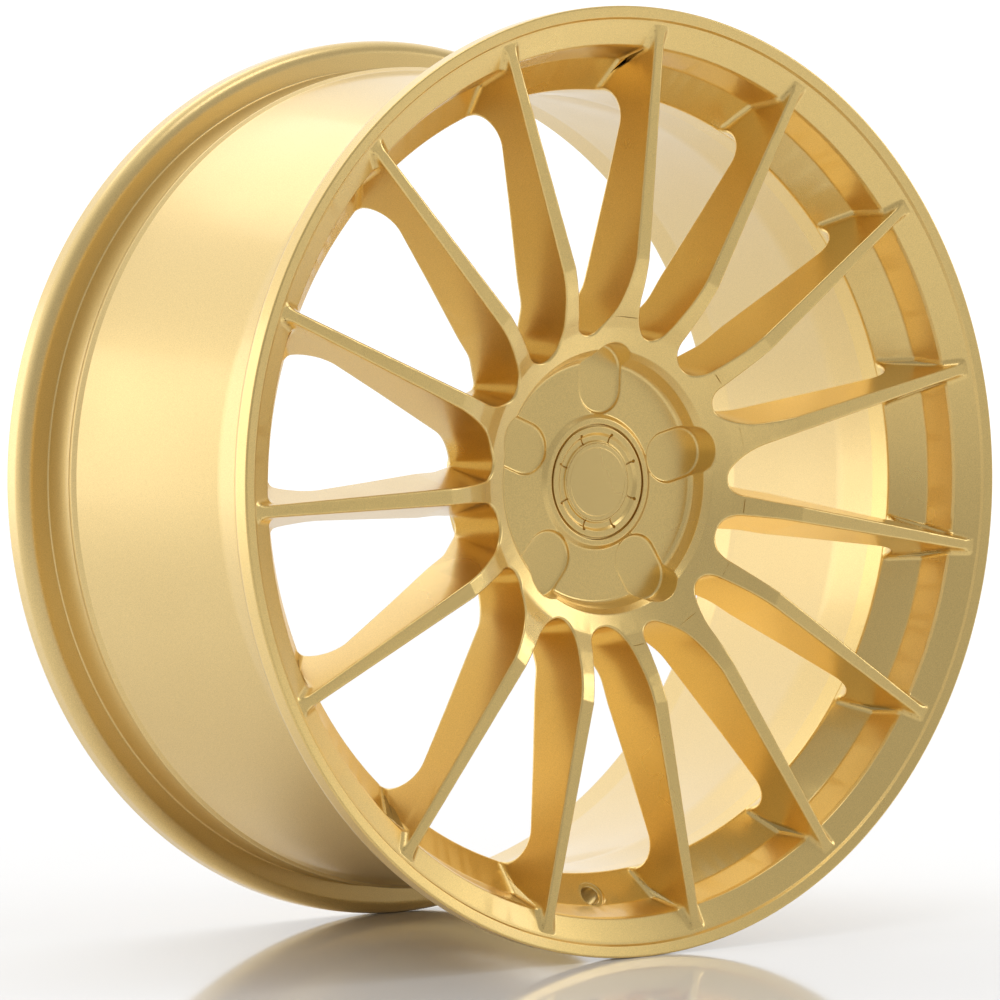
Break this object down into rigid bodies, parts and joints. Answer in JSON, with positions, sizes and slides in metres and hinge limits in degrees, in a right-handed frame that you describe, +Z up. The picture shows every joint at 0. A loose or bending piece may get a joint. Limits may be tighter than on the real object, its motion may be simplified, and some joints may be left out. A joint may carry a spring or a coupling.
{
  "type": "racing wheel rim",
  "caption": "Gold forged light-alloy car wheel rim with slim concave spokes, deep barrel, blank hub with lug pockets, valve hole and push-in centre cap.",
  "frame": {"origin": "on the wheel axis in the centre plane, halfway between the outboard and inboard edges of the flanges", "axes": "+Y along the wheel axis toward the vehicle, so the spoke face looks toward -Y; +Z up; +X completes the right-handed frame; the valve hole is near the bottom"},
  "size_m": [0.5224, 0.2496, 0.5224],
  "materials": {
    "forging_paint": "satin gold metallic paint over forged aluminium",
    "cap_plastic": "satin gold lacquer on moulded plastic",
    "badge_plastic": "smooth gold lacquered disc",
    "spring_steel": "bright drawn wire"
  },
  "bodies": {
    "wheel": {"hub_centre": "forging_paint", "spoke_01": "forging_paint", "spoke_02": "forging_paint", "spoke_03": "forging_paint", "spoke_04": "forging_paint", "spoke_05": "forging_paint", "spoke_06": "forging_paint", "spoke_07": "forging_paint", "spoke_08": "forging_paint", "spoke_09": "forging_paint", "spoke_10": "forging_paint", "spoke_11": "forging_paint", "spoke_12": "forging_paint", "spoke_13": "forging_paint", "spoke_14": "forging_paint", "spoke_15": "forging_paint", "outboard_flange": "forging_paint", "outboard_seat": "forging_paint", "barrel": "forging_paint", "inboard_rim": "forging_paint"},
    "cap": {"cap_body": "cap_plastic", "cap_badge": "badge_plastic", "cap_spring_ring": "spring_steel"}
  },
  "joints": [
    {"name": "cap_pull", "type": "slide", "parent": "wheel", "child": "cap", "axis": [0, -1, 0], "range_m": [0, 0.04]}
  ]
}
